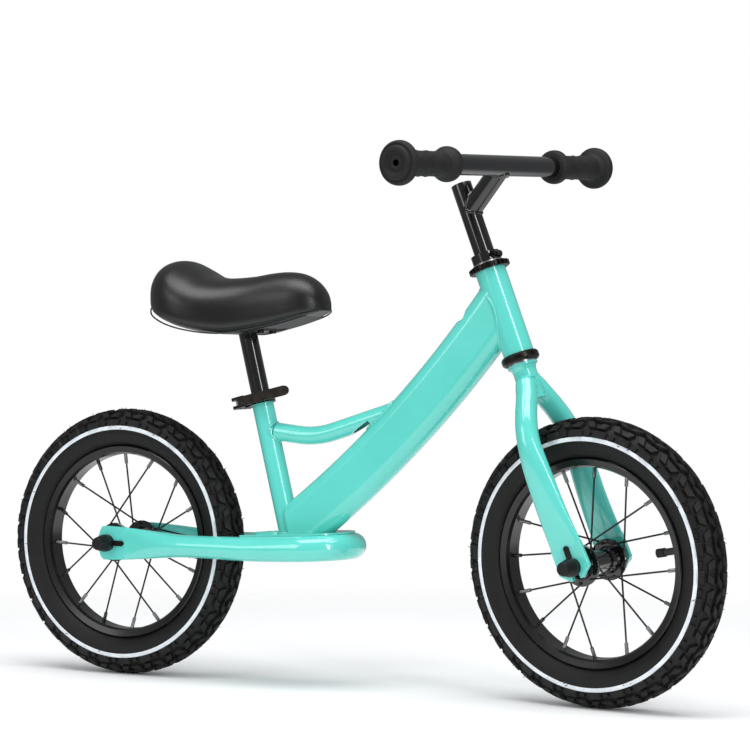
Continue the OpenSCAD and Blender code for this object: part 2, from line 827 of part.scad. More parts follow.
module tyre() {
    outer_half = tyre_w / 2;
    color(rubber_black) along_y() rotate_extrude($fn = 180) difference() {
        union() {
            translate([casing_mid_r, 0]) circle(r = casing_r, $fn = 64);
            // tread with its side blocks
            intersection() {
                translate([wheel_r - outer_half, 0]) circle(r = outer_half, $fn = 64);
                translate([wheel_r - 19, -outer_half]) square([19, tyre_w]);
            }
            // beads
            translate([rim_hole_r + 5, -rim_half_w + 2.7])
                square([casing_mid_r - casing_r - rim_hole_r, 2 * rim_half_w - 5.4]);
        }
        translate([casing_mid_r, 0]) circle(r = casing_r - 2.5, $fn = 64);
        translate([rim_hole_r, -rim_half_w + 5]) square([16, 2 * rim_half_w - 10]);
    }
}

module inner_tube() {
    color(gloss_black) along_y() {
        rotate_extrude($fn = 180) translate([casing_mid_r, 0]) difference() {
            circle(r = casing_r - 2.8, $fn = 64);
            circle(r = casing_r - 4, $fn = 64);
        }
    }
}

module valve_stem(angle) {
    rotate([0, -angle, 0]) translate([rim_hole_r - 22, 0, 0]) rotate([0, 90, 0])
        cylinder(d = 7.6, h = 44, $fn = 32);
}

module rim() {
    color(gloss_black) along_y() rotate_extrude($fn = 180) polygon([
        [rim_hole_r, -rim_half_w + 5], [rim_hole_r + 2, -rim_half_w + 1.4],
        [rim_flange_r - 1, -rim_half_w], [rim_flange_r, -rim_half_w + 0.8],
        [rim_flange_r - 0.6, -rim_half_w + 1.7], [rim_hole_r + 3, -rim_half_w + 2.8],
        [rim_hole_r + 1.6, -rim_half_w + 5.8],
        [rim_hole_r + 1.6, rim_half_w - 5.8], [rim_hole_r + 3, rim_half_w - 2.8],
        [rim_flange_r - 0.6, rim_half_w - 1.7], [rim_flange_r, rim_half_w - 0.8],
        [rim_flange_r - 1, rim_half_w], [rim_hole_r + 2, rim_half_w - 1.4],
        [rim_hole_r, rim_half_w - 5]]);
}

function spoke_side(k) = k % 2 == 1 ? -1 : 1;
function spoke_lean(k) = [1, -1, -1, 1][k % 4];
function on_circle(r, angle, y) = [r * cos(angle), y, r * sin(angle)];

// A spoke that leans forward round the wheel lies outside its flange, the others inside
function hub_angle(k, way) = k * spoke_pitch + way * spoke_lean(k) * spoke_cross;
function hub_point(k, way) =
    on_circle(spoke_circle_r, hub_angle(k, way),
        way * spoke_side(k) * (flange_y + spoke_lean(k) * (flange_t / 2 + spoke_d / 2 + 0.15)));

// Points the Z axis from one point to another
module aim(from, to) {
    d = to - from;
    translate(from) rotate([0, acos(d[2] / norm(d)), atan2(d[1], d[0])]) children();
}

module spokes(way) {
    for (k = [0 : spoke_count - 1]) {
        hub_p = hub_point(k, way);
        rim_p = on_circle(rim_hole_r, k * spoke_pitch, 0);
        side = way * spoke_side(k) * -spoke_lean(k);
        color(gloss_black) union() {
            aim(hub_p, rim_p) cylinder(d = spoke_d, h = norm(rim_p - hub_p) - 2, $fn = 16);
            // elbow through the flange, and the head on its other side
            translate(hub_p - [0, side * 1.1, 0]) rotate([-90 * side, 0, 0])
                cylinder(d = spoke_d + 0.1, h = flange_t + 3.2, $fn = 16);
            translate(hub_p + [0, side * (flange_t + 1.3), 0]) rotate([-90 * side, 0, 0])
                cylinder(d = 3.6, h = 1.2, $fn = 16);
        }
    }
}

module nipples(way) {
    for (k = [0 : spoke_count - 1]) {
        rim_p = on_circle(rim_hole_r, k * spoke_pitch, 0);
        color(steel) aim(rim_p, hub_point(k, way)) difference() {
            union() {
                translate([0, 0, 0.05]) cylinder(d = nipple_d, h = nipple_len, $fn = 16);
                translate([0, 0, -1.4]) cylinder(d = 3.2, h = 3, $fn = 16);
            }
            translate([0, 0, 1]) cylinder(d = spoke_d + 0.1, h = nipple_len + 2, $fn = 16);
        }
    }
}

module spoke_holes() {
    for (k = [0 : spoke_count - 1])
        rotate([0, -k * spoke_pitch, 0]) translate([rim_hole_r - 3, 0, 0]) rotate([0, 90, 0])
            cylinder(d = 4.2, h = 8, $fn = 16);
}

module drilled_rim(angle) {
    color(gloss_black) difference() {
        rim();
        spoke_holes();
        rotate([0, -angle, 0]) translate([rim_hole_r - 3, 0, 0]) rotate([0, 90, 0])
            cylinder(d = 8, h = 8, $fn = 32);
    }
}

module rim_tape(angle) {
    color(rubber_black) difference() {
        along_y() rotate_extrude($fn = 180) translate([rim_hole_r + 2.2, -rim_half_w + 6.5])
            square([1, 2 * rim_half_w - 13]);
        rotate([0, -angle, 0]) translate([rim_hole_r - 3, 0, 0]) rotate([0, 90, 0])
            cylinder(d = 8, h = 12, $fn = 32);
    }
}

// Half of the hub's outline: barrel, flange and bearing end
hub_profile = [[12.5, 17], [15, flange_y - flange_t / 2],
    [flange_r - 0.8, flange_y - flange_t / 2], [flange_r, flange_y - flange_t / 2 + 0.8],
    [flange_r, flange_y + flange_t / 2 - 0.8], [flange_r - 0.8, flange_y + flange_t / 2],
    [15.5, flange_y + flange_t / 2], [14.5, hub_half_w], [0, hub_half_w]];

module hub(way) {
    color(gloss_black) difference() {
        along_y() rotate_extrude() polygon(concat([for (p = hub_profile) p],
            [for (i = [len(hub_profile) - 1 : -1 : 0]) [hub_profile[i][0], -hub_profile[i][1]]]));
        along_y() cylinder(r = 8, h = 100, center = true);
        both_sides() translate([0, hub_ball_y - hub_ball_r - 0.05, 0]) along_y()
            cylinder(r = hub_bore_r, h = 20);
        for (k = [0 : spoke_count - 1])
            translate(on_circle(spoke_circle_r, hub_angle(k, way), way * spoke_side(k) * flange_y))
                along_y() cylinder(d = spoke_d + 0.3, h = 8, center = true, $fn = 16);
        // grooves where the spokes cross the flanges' rims
        for (k = [0 : spoke_count - 1])
            aim(hub_point(k, way), on_circle(rim_hole_r, k * spoke_pitch, 0))
                cylinder(d = spoke_d + 0.2, h = 24, $fn = 16);
    }
}

module hub_balls() {
    color(steel) both_sides() translate([0, hub_ball_y, 0]) along_y()
        ball_circle(10, hub_ball_circle_r, hub_ball_r);
}

module valve_cap(angle) {
    color(gloss_black) rotate([0, -angle, 0]) translate([rim_hole_r - 24, 0, 0]) rotate([0, 90, 0])
        difference() {
            cylinder(d = 9.4, h = 9);
            translate([0, 0, 1.9]) cylinder(d = 7.7, h = 10, $fn = 32);
        }
}

module rear_wheel_place() {
    at_rear_axle() rotate([0, -rear_spin, 0]) children();
}

module front_wheel_place() {
    at_front_axle() rotate([0, -front_spin, 0]) children();
}

module rear_tyre() {
    rear_wheel_place() tyre();
}

module rear_inner_tube() {
    rear_wheel_place() color(gloss_black) difference() {
        union() {
            inner_tube();
            valve_stem(valve_angle[0]);
        }
        along_y() rotate_extrude($fn = 180) translate([casing_mid_r, 0]) circle(r = casing_r - 4, $fn = 64);
    }
}

module rear_rim() {
    rear_wheel_place() drilled_rim(valve_angle[0]);
}

module rear_rim_tape() {
    rear_wheel_place() rim_tape(valve_angle[0]);
}

module rear_spokes() {
    rear_wheel_place() spokes(1);
}

module rear_nipples() {
    rear_wheel_place() nipples(1);
}

module rear_hub() {
    rear_wheel_place() hub(1);
}

module rear_hub_balls() {
    rear_wheel_place() hub_balls();
}

module rear_valve_cap() {
    rear_wheel_place() valve_cap(valve_angle[0]);
}

module front_tyre() {
    front_wheel_place() tyre();
}

module front_inner_tube() {
    front_wheel_place() color(gloss_black) difference() {
        union() {
            inner_tube();
            valve_stem(valve_angle[1]);
        }
        along_y() rotate_extrude($fn = 180) translate([casing_mid_r, 0]) circle(r = casing_r - 4, $fn = 64);
    }
}

module front_rim() {
    front_wheel_place() drilled_rim(valve_angle[1]);
}

module front_rim_tape() {
    front_wheel_place() rim_tape(valve_angle[1]);
}

module front_spokes() {
    front_wheel_place() spokes(-1);
}

module front_nipples() {
    front_wheel_place() nipples(-1);
}

module front_hub() {
    front_wheel_place() hub(-1);
}

module front_hub_balls() {
    front_wheel_place() hub_balls();
}

module front_valve_cap() {
    front_wheel_place() valve_cap(valve_angle[1]);
}

head_tube();
main_tube();
seat_tube();
frame_brace();
rear_loop();
footrest_plate();
headset_upper_cup();
headset_lower_cup();
headset_balls();
seat_clamp_band();
seat_clamp_bolt();
seat_clamp_nut();
seat_clamp_lever();
rear_axle();
rear_cones();
rear_tab_washers();
rear_axle_nuts();
rear_axle_caps();
fork_steerer();
fork_leg_right();
fork_leg_left();
crown_race();
upper_race();
steerer_collar();
steerer_collar_bolt();
front_axle();
front_cones();
front_tab_washers();
front_axle_nuts();
front_axle_caps();
stem_quill();
stem_riser();
handlebar();
grip_right();
grip_left();
seat_post();
saddle_bracket();
saddle_base();
saddle_bolts();
saddle_pad();
rear_tyre();
rear_inner_tube();
rear_rim();
rear_rim_tape();
rear_spokes();
rear_nipples();
rear_hub();
rear_hub_balls();
rear_valve_cap();
front_tyre();
front_inner_tube();
front_rim();
front_rim_tape();
front_spokes();
front_nipples();
front_hub();
front_hub_balls();
front_valve_cap();
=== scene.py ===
import json
import math
import random

import bmesh
import bpy
from mathutils import Matrix, Vector
from mathutils.bvhtree import BVHTree

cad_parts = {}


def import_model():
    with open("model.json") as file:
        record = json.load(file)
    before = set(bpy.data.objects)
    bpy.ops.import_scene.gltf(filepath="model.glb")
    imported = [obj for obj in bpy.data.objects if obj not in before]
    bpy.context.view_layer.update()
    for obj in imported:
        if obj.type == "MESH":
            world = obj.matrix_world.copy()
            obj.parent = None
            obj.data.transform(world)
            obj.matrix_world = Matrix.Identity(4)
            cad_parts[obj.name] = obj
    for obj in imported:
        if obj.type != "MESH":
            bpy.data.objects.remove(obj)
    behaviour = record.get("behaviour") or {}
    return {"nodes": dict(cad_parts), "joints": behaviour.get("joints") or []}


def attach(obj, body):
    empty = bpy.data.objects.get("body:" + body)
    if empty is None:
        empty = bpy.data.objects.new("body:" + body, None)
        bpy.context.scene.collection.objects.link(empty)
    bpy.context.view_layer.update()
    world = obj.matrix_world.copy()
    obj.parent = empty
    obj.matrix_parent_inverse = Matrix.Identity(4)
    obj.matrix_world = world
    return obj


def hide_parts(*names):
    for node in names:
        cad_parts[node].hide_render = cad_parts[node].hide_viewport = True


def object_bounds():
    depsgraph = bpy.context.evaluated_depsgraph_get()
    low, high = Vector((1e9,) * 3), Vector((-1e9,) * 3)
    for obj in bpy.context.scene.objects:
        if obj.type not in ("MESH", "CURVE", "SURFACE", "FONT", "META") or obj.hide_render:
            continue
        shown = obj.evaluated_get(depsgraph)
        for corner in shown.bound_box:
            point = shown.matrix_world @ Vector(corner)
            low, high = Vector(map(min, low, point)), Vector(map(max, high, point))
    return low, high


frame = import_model()
cad_lo, cad_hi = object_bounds()
MM = 0.001
rng = random.Random(7)
joints = {j["name"]: j for j in frame["joints"]}


# ---------------------------------------------------------------- placing

def basis(origin, x, y, z):
    m = Matrix((x, y, z)).transposed().to_4x4()
    m.translation = origin
    return m


def steered_place():
    """Frame of the steered parts: Z up the steering axis from the ground, Y to the rider's left."""
    z = Vector(joints["steering"]["axis"]).normalized()
    at = Vector(joints["steering"]["pos_m"])
    y = Vector(joints["front_wheel_spin"]["axis"]).normalized()
    y = (y - z * y.dot(z)).normalized()
    return basis(at - z * (at.z / z.z), y.cross(z), y, z)


def wheel_place(joint):
    y = Vector(joints[joint]["axis"]).normalized()
    x = Vector((1, 0, 0))
    x = (x - y * x.dot(y)).normalized()
    return basis(Vector(joints[joint]["pos_m"]), x, y, x.cross(y))


def seat_place():
    """Frame of the seat tube: Z up its axis from the ground, X forward."""
    z = Vector(joints["seat_height"]["axis"]).normalized()
    at = Vector(joints["seat_height"]["pos_m"])
    y = Vector((0, 1, 0))
    return basis(at - z * (at.z / z.z), y.cross(z), y, z)


STEER = steered_place()
SEAT = seat_place()
FRONT = wheel_place("front_wheel_spin")
REAR = wheel_place("rear_wheel_spin")
WORLD = Matrix.Identity(4)
BAR = STEER @ Matrix.Translation((0.056, 0, 0.588))


# ---------------------------------------------------------------- materials

def node(tree, kind, **inputs):
    n = tree.nodes.new(kind)
    for key, value in inputs.items():
        n.inputs[key].default_value = value
    return n


def rgb(r, g, b):
    """Scene-linear colour from the usual 0 to 255 values."""
    def lin(v):
        v /= 255
        return v / 12.92 if v <= 0.04045 else ((v + 0.055) / 1.055) ** 2.4
    return (lin(r), lin(g), lin(b), 1)


def surface(name, dark, light, rough, patch=30, grain=None, cells=None, **shader):
    """Principled material: patchy colour and roughness, and a grain bump at its own scale."""
    mat = bpy.data.materials.new(name)
    mat.use_nodes = True
    tree = mat.node_tree
    bsdf = tree.nodes["Principled BSDF"]
    where = node(tree, "ShaderNodeTexCoord").outputs["Object"]
    cloud = node(tree, "ShaderNodeTexNoise", Scale=patch, Detail=5, Roughness=0.6)
    tree.links.new(where, cloud.inputs["Vector"])
    tone = node(tree, "ShaderNodeValToRGB")
    tone.color_ramp.elements[0].position = 0.3
    tone.color_ramp.elements[1].position = 0.7
    tone.color_ramp.elements[0].color = dark
    tone.color_ramp.elements[1].color = light
    tree.links.new(cloud.outputs["Fac"], tone.inputs["Fac"])
    tree.links.new(tone.outputs["Color"], bsdf.inputs["Base Color"])
    spread = node(tree, "ShaderNodeMapRange")
    spread.inputs["To Min"].default_value = rough[0]
    spread.inputs["To Max"].default_value = rough[1]
    tree.links.new(cloud.outputs["Fac"], spread.inputs["Value"])
    tree.links.new(spread.outputs["Result"], bsdf.inputs["Roughness"])
    last = None
    if cells:
        scale, depth = cells
        leather = node(tree, "ShaderNodeTexVoronoi", Scale=scale, Randomness=1)
        leather.feature = "DISTANCE_TO_EDGE"
        tree.links.new(where, leather.inputs["Vector"])
        ramp = node(tree, "ShaderNodeValToRGB")
        ramp.color_ramp.elements[1].position = 0.18
        tree.links.new(leather.outputs["Distance"], ramp.inputs["Fac"])
        last = node(tree, "ShaderNodeBump", Strength=0.5, Distance=depth)
        tree.links.new(ramp.outputs["Color"], last.inputs["Height"])
    if grain:
        scale, depth = grain
        fine = node(tree, "ShaderNodeTexNoise", Scale=scale, Detail=3, Roughness=0.6)
        tree.links.new(where, fine.inputs["Vector"])
        bump = node(tree, "ShaderNodeBump", Strength=0.6, Distance=depth)
        tree.links.new(fine.outputs["Fac"], bump.inputs["Height"])
        if last:
            tree.links.new(last.outputs["Normal"], bump.inputs["Normal"])
        last = bump
    if last:
        tree.links.new(last.outputs["Normal"], bsdf.inputs["Normal"])
    for key, value in shader.items():
        bsdf.inputs[key.replace("_", " ")].default_value = value
    return mat


MINT = surface("mint_gloss_paint", rgb(86, 203, 190), rgb(94, 211, 199), (0.2, 0.26), 14,
               grain=(260, 0.00001), Coat_Weight=1.0, Coat_Roughness=0.03)
BLACK = surface("black_gloss_paint", rgb(7, 7, 8), rgb(12, 12, 13), (0.12, 0.18), 25,
                grain=(300, 0.00002), Coat_Weight=0.7, Coat_Roughness=0.04)
PLASTIC = surface("black_plastic", rgb(13, 13, 14), rgb(20, 20, 21), (0.38, 0.5), 40,
                  grain=(1500, 0.00008), Specular_IOR_Level=0.3)
STEEL = surface("zinc_plated_steel", rgb(150, 152, 156), rgb(205, 207, 210), (0.2, 0.42), 160,
                grain=(1200, 0.00003), Metallic=1.0)
NIPPLE = surface("nickel_nipple", rgb(105, 106, 108), rgb(150, 152, 154), (0.3, 0.45), 200,
                 grain=(1400, 0.00003), Metallic=1.0)
SPOKE = surface("black_spoke_wire", rgb(12, 12, 13), rgb(24, 24, 25), (0.25, 0.4), 60,
                grain=(900, 0.00002), Metallic=0.3)
RIM = surface("black_anodised_rim", rgb(17, 16, 16), rgb(30, 28, 27), (0.17, 0.26), 22,
              grain=(700, 0.00003), Metallic=0.35, Coat_Weight=0.3, Coat_Roughness=0.12)
TYRE = surface("tyre_rubber", rgb(12, 12, 12), rgb(21, 21, 20), (0.48, 0.66), 60,
               grain=(1100, 0.0002), Specular_IOR_Level=0.3)
STRIPE = surface("pale_reflective_band", rgb(205, 212, 218), rgb(236, 240, 244), (0.35, 0.5), 90,
                 grain=(1400, 0.00008))
TUBE = surface("butyl_tube", rgb(26, 26, 26), rgb(34, 34, 34), (0.5, 0.6), 60,
               grain=(900, 0.0001))
GRIP = surface("grip_rubber", rgb(22, 22, 22), rgb(33, 32, 32), (0.6, 0.75), 50,
               grain=(1600, 0.00015), Specular_IOR_Level=0.35)
SADDLE = surface("black_leatherette", rgb(9, 9, 9), rgb(16, 15, 15), (0.3, 0.38), 18,
                 grain=(900, 0.00006), cells=(520, 0.00012), Coat_Weight=0.12,
                 Coat_Roughness=0.3)
LEVER = surface("brushed_dark_alloy", rgb(34, 31, 29), rgb(62, 57, 53), (0.25, 0.38), 120,
                grain=(1500, 0.00003), Metallic=0.85)
KNURL = surface("black_oxide_steel", rgb(22, 20, 20), rgb(44, 40, 38), (0.22, 0.34), 200,
                grain=(1300, 0.00006), Metallic=0.7)

LOOKS = {
    MINT: ["head_tube", "main_tube", "seat_tube", "frame_brace", "rear_loop", "footrest_plate",
           "fork_steerer", "fork_leg_right", "fork_leg_left"],
    BLACK: ["seat_clamp_band", "steerer_collar", "stem_quill", "stem_riser", "handlebar",
            "seat_post", "saddle_bracket", "rear_hub", "front_hub"],
    PLASTIC: ["saddle_base", "rear_axle_caps", "front_axle_caps", "rear_valve_cap",
              "front_valve_cap"],
    KNURL: ["headset_upper_cup", "headset_lower_cup", "seat_clamp_nut", "rear_tab_washers",
            "front_tab_washers", "saddle_bolts", "steerer_collar_bolt"],
    STEEL: ["headset_balls", "crown_race", "upper_race", "seat_clamp_bolt", "rear_axle",
            "rear_cones", "rear_axle_nuts",
            "front_axle", "front_cones", "front_axle_nuts",
            "rear_hub_balls", "front_hub_balls"],
    NIPPLE: ["rear_nipples", "front_nipples"],
    LEVER: ["seat_clamp_lever"],
    SPOKE: ["rear_spokes", "front_spokes"],
    RIM: ["rear_rim", "front_rim"],
    TUBE: ["rear_inner_tube", "front_inner_tube", "rear_rim_tape", "front_rim_tape"],
    TYRE: ["rear_tyre", "front_tyre"],
    GRIP: ["grip_left", "grip_right"],
    SADDLE: ["saddle_pad"],
}
for mat, names in LOOKS.items():
    for name in names:
        mesh = frame["nodes"][name].data
        mesh.materials.clear()
        mesh.materials.append(mat)


# ---------------------------------------------------------------- mesh helpers

def piece(name, verts, faces, place, mat, body, slot, smooth=30, marks=None):
    """Mesh object from points in millimetres in a placing frame; it rides a body."""
    mesh = bpy.data.meshes.new(name)
    mesh.from_pydata([place @ (Vector(v) * MM) for v in verts], [], faces)
    bm = bmesh.new()
    bm.from_mesh(mesh)
    bmesh.ops.recalc_face_normals(bm, faces=bm.faces)
    bm.to_mesh(mesh)
    bm.free()
    for m in (mat if isinstance(mat, list) else [mat]):
        mesh.materials.append(m)
    if marks:
        for i, k in marks.items():
            mesh.polygons[i].material_index = k
    for p in mesh.polygons:
        p.use_smooth = True
    mesh.set_sharp_from_angle(angle=math.radians(smooth))
    obj = bpy.data.objects.new(name, mesh)
    bpy.context.scene.collection.objects.link(obj)
    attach(obj, body)
    return obj


def loft(rings, closed=False):
    """Points and faces of a skin over rings with the same number of points."""
    n, m = len(rings[0]), len(rings)
    verts = [p for ring in rings for p in ring]
    faces = []
    for j in range(m if closed else m - 1):
        k = (j + 1) % m
        for i in range(n):
            faces.append((j * n + i, j * n + (i + 1) % n, k * n + (i + 1) % n, k * n + i))
    if not closed:
        faces.append(tuple(range(n - 1, -1, -1)))
        faces.append(tuple(range((m - 1) * n, m * n)))
    return verts, faces


def lathe(profile, count=96):
    """Closed outline of (radius, y) turned round the Y axis."""
    rings = []
    for k in range(count):
        t = 2 * math.pi * k / count
        rings.append([(r * math.cos(t), y, r * math.sin(t)) for r, y in profile])
    return loft(rings, closed=True)


def add(parts):
    """Joins several (verts, faces) pairs."""
    verts, faces = [], []
    for v, f in parts:
        base = len(verts)
        verts += v
        faces += [tuple(i + base for i in q) for q in f]
    return verts, faces


def spline(points, steps):
    """Catmull-Rom curve through rows of numbers."""
    rows = []
    for i in range(len(points) - 1):
        a, b = points[max(i - 1, 0)], points[i]
        c, d = points[i + 1], points[min(i + 2, len(points) - 1)]
        for s in range(steps):
            t = s / steps
            rows.append([0.5 * (2 * q + (r - p) * t + (2 * p - 5 * q + 4 * r - s_) * t * t
                                + (3 * q - p - 3 * r + s_) * t ** 3)
                         for p, q, r, s_ in zip(a, b, c, d)])
    rows.append(list(points[-1]))
    return rows


def power(v, e):
    return math.copysign(abs(v) ** e, v)


def oval(a, b, n, count=48):
    out = []
    for i in range(count):
        t = 2 * math.pi * i / count
        out.append((a * power(math.cos(t), 2 / n), b * power(math.sin(t), 2 / n)))
    return out


def ring_at(centre, wide, thick, shape):
    return [Vector(centre) + wide * p + thick * q for p, q in shape]


def sweep(path, radius, count=12, closed=False):
    """Round bar along a path; radius is a number or one for each point."""
    pts = [Vector(p) for p in path]
    rings = []
    side = None
    for i, p in enumerate(pts):
        a = pts[i - 1] if closed or i else p
        b = pts[(i + 1) % len(pts)] if closed or i + 1 < len(pts) else p
        d = (b - a).normalized()
        if side is None:
            side = d.orthogonal().normalized()
        side = (side - d * side.dot(d)).normalized()
        up = d.cross(side)
        r = radius[i] if isinstance(radius, list) else radius
        rings.append([p + side * r * math.cos(2 * math.pi * k / count)
                      + up * r * math.sin(2 * math.pi * k / count) for k in range(count)])
    return loft(rings, closed)


# ---------------------------------------------------------------- tyres

TREAD_MID, TREAD_R = 129.0, 23.4
CASE_MID, CASE_R = 128.5, 21.0
BAND_FROM, BAND_TO = 78, 90      # degrees round the casing section, from its crown


def on_section(turn, tilt, r, mid=TREAD_MID):
    """Point on the tyre: turn round the wheel, tilt from the crown, r from the section's centre."""
    rad = mid + r * math.cos(tilt)
    return (rad * math.cos(turn), r * math.sin(tilt), rad * math.sin(turn))


def knob(t0, t1, f0, f1, top, skew=0.0, draft=0.12):
    """Tread block with sloped flanks, curved to the section."""
    rings = []
    for level, r in ((0, 19.2), (1, top - 0.5), (2, top)):
        cut = (0, draft * 0.7, draft)[level]
        dt, df = (t1 - t0) * cut, (f1 - f0) * cut
        ring = []
        for u, v in [(0, 0), (0.33, 0), (0.67, 0), (1, 0), (1, 0.5), (1, 1), (0.67, 1),
                     (0.33, 1), (0, 1), (0, 0.5)]:
            f = f0 + df + (f1 - f0 - 2 * df) * v
            t = t0 + dt + (t1 - t0 - 2 * dt) * u + skew * (v - 0.5)
            ring.append(on_section(t, f, r))
        rings.append(ring)
    n = 10
    verts = [p for ring in rings for p in ring]
    faces = []
    for j in range(2):
        for i in range(n):
            faces.append((j * n + i, j * n + (i + 1) % n, (j + 1) * n + (i + 1) % n,
                          (j + 1) * n + i))
    b = 2 * n
    faces += [(b, b + 1, b + 8, b + 9), (b + 1, b + 2, b + 7, b + 8), (b + 2, b + 3, b + 4, b + 7),
              (b + 4, b + 5, b + 6, b + 7)]
    faces.append(tuple(range(n - 1, -1, -1)))
    return verts, faces


def on_band(deg):
    """Whether an angle round the casing section lies on the pale band."""
    return BAND_FROM <= abs(deg) <= BAND_TO


def casing_profile():
    rows = []
    for deg in range(-150, 151, 3):
        r = CASE_R
        for rib in (103, 118, 133):
            r += 0.35 * math.exp(-((abs(deg) - rib) / 1.6) ** 2)
        if on_band(deg):
            r += 0.2
        if abs(deg) < BAND_FROM:
            r -= 1.3 * min((BAND_FROM - abs(deg)) / 9, 1)
        t = math.radians(deg)
        rows.append((CASE_MID + r * math.cos(t), r * math.sin(t), deg))
    inner = [(row[0] - 1.5, row[1] * 0.55, 0) for row in (rows[-1], rows[0])]
    return rows + inner


def tyre(name, node_name, place, body):
    profile = casing_profile()
    count = 240
    verts, faces = lathe([row[:2] for row in profile], count)
    marks = {}
    n = len(profile)
    for i in range(n):
        d0, d1 = profile[i][2], profile[(i + 1) % n][2]
        if on_band(d0) and on_band(d1) and d0 * d1 > 0:
            for j in range(count):
                marks[j * n + i] = 1
    parts = [(verts, faces)]
    pitches = 30
    step = 2 * math.pi / pitches
    rad = math.radians
    for k in range(pitches):
        t = k * step
        for s in (-1, 1):
            def block(a, b, f0, f1, top, skew=0.0):
                j = (rng.random() - 0.5) * 0.5
                lo, hi = sorted((s * rad(f0), s * rad(f1)))
                parts.append(knob(t + a * step, t + b * step, lo, hi, top + j * 0.3, s * skew))
            shift = 0 if s > 0 else 0.5
            block(0.02 + shift, 0.60 + shift, 58, 79, 23.3)
            block(0.68 + shift, 0.92 + shift, 64, 77, 22.2)
            block(0.10 + shift, 0.42 + shift, 34, 54, 23.4, 0.03)
            block(0.58 + shift, 0.90 + shift, 30, 52, 23.4, -0.03)
            block(0.00 + shift, 0.34 + shift, 10, 27, 23.4, 0.05)
            block(0.50 + shift, 0.82 + shift, 8, 25, 23.4, -0.05)
        parts.append(knob(t + 0.18 * step, t + 0.48 * step, rad(-7), rad(7), TREAD_R))
        parts.append(knob(t + 0.68 * step, t + 0.98 * step, rad(-7), rad(7), TREAD_R))
    parts += hairs(place)
    verts, faces = add(parts)
    obj = piece(name, verts, faces, place, [TYRE, STRIPE], body, "tyre_rubber", 32, marks)
    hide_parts(node_name)
    return obj


def hairs(place):
    """Thin vent hairs of rubber, kept inside the CAD model's box."""
    out = []
    for _ in range(170):
        turn = rng.uniform(0, 2 * math.pi)
        tilt = math.radians(rng.uniform(-100, 100))
        r0, length = 20.5, rng.uniform(3.6, 5.6)
        a = Vector(on_section(turn, tilt, r0))
        b = Vector(on_section(turn + rng.uniform(-0.015, 0.015), tilt + rng.uniform(-0.05, 0.05),
                              r0 + length))
        tip = place @ (b * MM)
        low = min(tip.x - cad_lo[0], cad_hi[0] - tip.x, tip.z - cad_lo[2])
        if low < 0.0005 or tip.z < 0.02:
            continue
        out.append(sweep([a, (a + b) / 2, b], [0.5, 0.42, 0.2], 5))
    return out


tyre("rear_tyre_tread", "rear_tyre", REAR, "rear_wheel")
tyre("front_tyre_tread", "front_tyre", FRONT, "front_wheel")


# ---------------------------------------------------------------- fork legs and loop

LEG = [
    (366, 1.0, 5.6, 9.6, 9.4, 2), (360, 1.5, 9.5, 11, 10.5, 2), (347, 2.8, 17, 11.4, 11.4, 2),
    (334, 3.4, 26.5, 11.5, 11.5, 2), (321, 3.6, 34.5, 11.7, 11.7, 2),
    (308, 3.4, 40, 12, 11.8, 2), (293, 3, 43.2, 13, 11.2, 2), (276, 2.8, 44.2, 14.6, 10, 2.1),
    (255, 2.6, 43.8, 15.9, 8.4, 2.2), (234, 2.6, 43, 16.6, 6.8, 2.3),
    (213, 3.2, 42.3, 17.4, 5, 2.6), (196, 4.2, 41.8, 18.2, 3.3, 3), (182, 5.2, 41.5, 18.8, 2.5, 4),
]


def fork_leg(name, node_name, side):
    rows = spline(LEG, 6)
    rings = []
    for i, (s, x, y, w, t, n) in enumerate(rows):
        a, b = rows[max(i - 1, 0)], rows[min(i + 1, len(rows) - 1)]
        d = Vector((b[1] - a[1], side * (b[2] - a[2]), b[0] - a[0])).normalized()
        wide = Vector((1, 0, 0))
        thick = wide.cross(d).normalized()
        rings.append(ring_at((x, side * y, s), wide, thick, oval(w, t, n)))
    obj = piece(name, *add([loft(rings), leg_tip(side)]), STEER, MINT, "fork", "mint_paint", 40)
    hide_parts(node_name)
    return obj


def slab(outline, y0, y1, edge=0.5):
    """Plate with eased edges: an outline in (x, z) between two y values."""
    cx = sum(p[0] for p in outline) / len(outline)
    cz = sum(p[1] for p in outline) / len(outline)
    rings = []
    for y, inset in ((y0, edge), (y0 + edge, 0), (y1 - edge, 0), (y1, edge)):
        ring = []
        for x, z in outline:
            d = Vector((cx - x, cz - z))
            d = d.normalized() * inset if d.length else d
            ring.append((x + d.x, y, z + d.y))
        rings.append(ring)
    return loft(rings)


def arc(cx, cz, r, a0, a1, steps=8):
    return [(cx + r * math.cos(math.radians(a0 + (a1 - a0) * i / steps)),
             cz + r * math.sin(math.radians(a0 + (a1 - a0) * i / steps)))
            for i in range(steps + 1)]


def leg_tip(side):
    """Flat end plate of a leg, with an open slot for the axle."""
    cx, cz = 6, 161
    slot = 4.9
    outline = [(-13.6, 185), (23.6, 185), (cx + 19.2, cz + 4), (cx + 19.2, cz - 4),
               (cx + 8, cz - 13.5), (cx + slot, cz - 13.5)]
    outline += arc(cx, cz, slot, 0, 180)
    outline += [(cx - slot, cz - 13.5), (cx - 8, cz - 13.5), (cx - 19.2, cz - 4),
                (cx - 19.2, cz + 4)]
    mid = side * 41.5
    return slab(outline, mid - 2.5, mid + 2.5)


fork_leg("fork_leg_right_tube", "fork_leg_right", -1)
fork_leg("fork_leg_left_tube", "fork_leg_left", 1)

